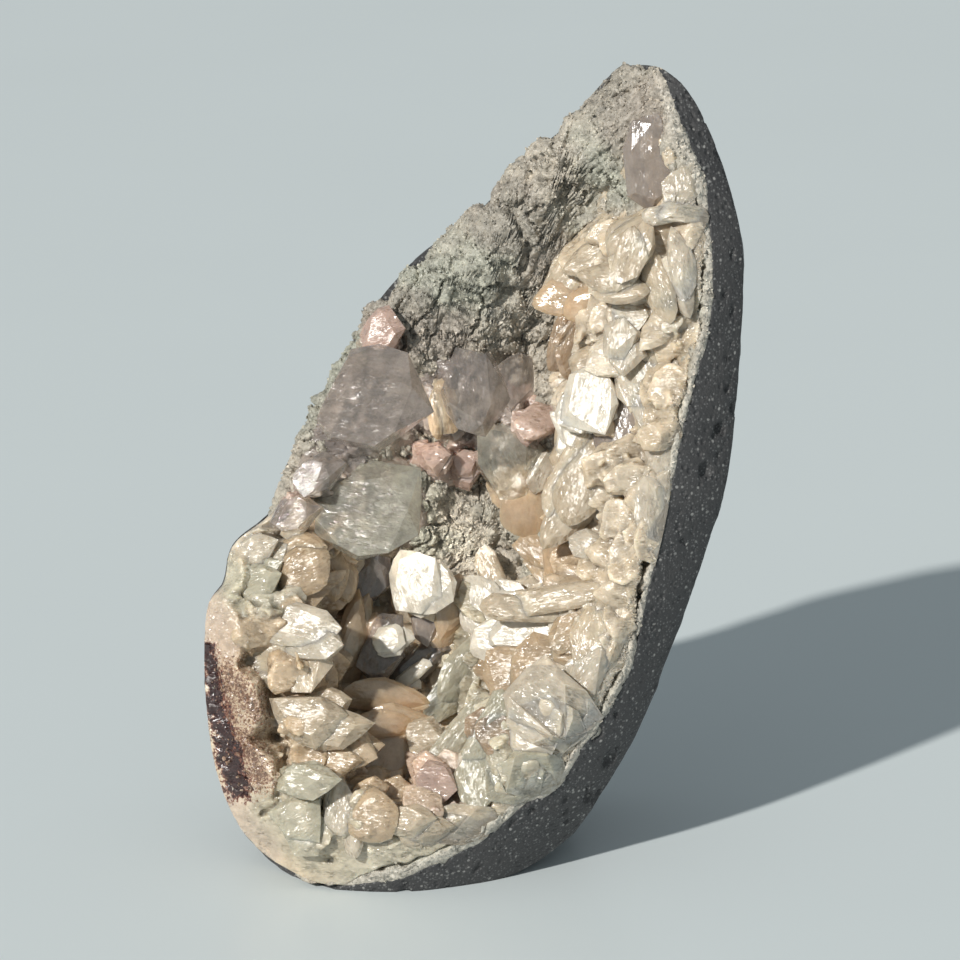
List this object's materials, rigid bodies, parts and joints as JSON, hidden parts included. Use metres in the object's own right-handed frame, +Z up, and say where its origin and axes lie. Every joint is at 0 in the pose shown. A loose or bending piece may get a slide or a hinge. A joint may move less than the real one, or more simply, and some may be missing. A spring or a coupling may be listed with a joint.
{
  "type": "quartz geode",
  "caption": "Standing half of a dark basalt nodule, its hollow coated with grey-green druse and grown over by cream, tan and clear crystals.",
  "frame": {"origin": "on the level of the flat base, under the middle of the whole stone's box", "axes": "+Z up, the open crystal-lined face looks along -Y, +X to the right of someone facing it"},
  "size_m": [0.1206, 0.0746, 0.1789],
  "materials": {
    "basalt": "ground and waxed, dark grey with pale specks",
    "druse": "sugary grey-green coat of tiny crystals",
    "crystal": "glassy to pearly cream, tan and clear crystals"
  },
  "bodies": {
    "root": {"basalt_rock": "basalt", "druse_lining": "druse", "crystal_crust": "crystal"}
  },
  "joints": []
}
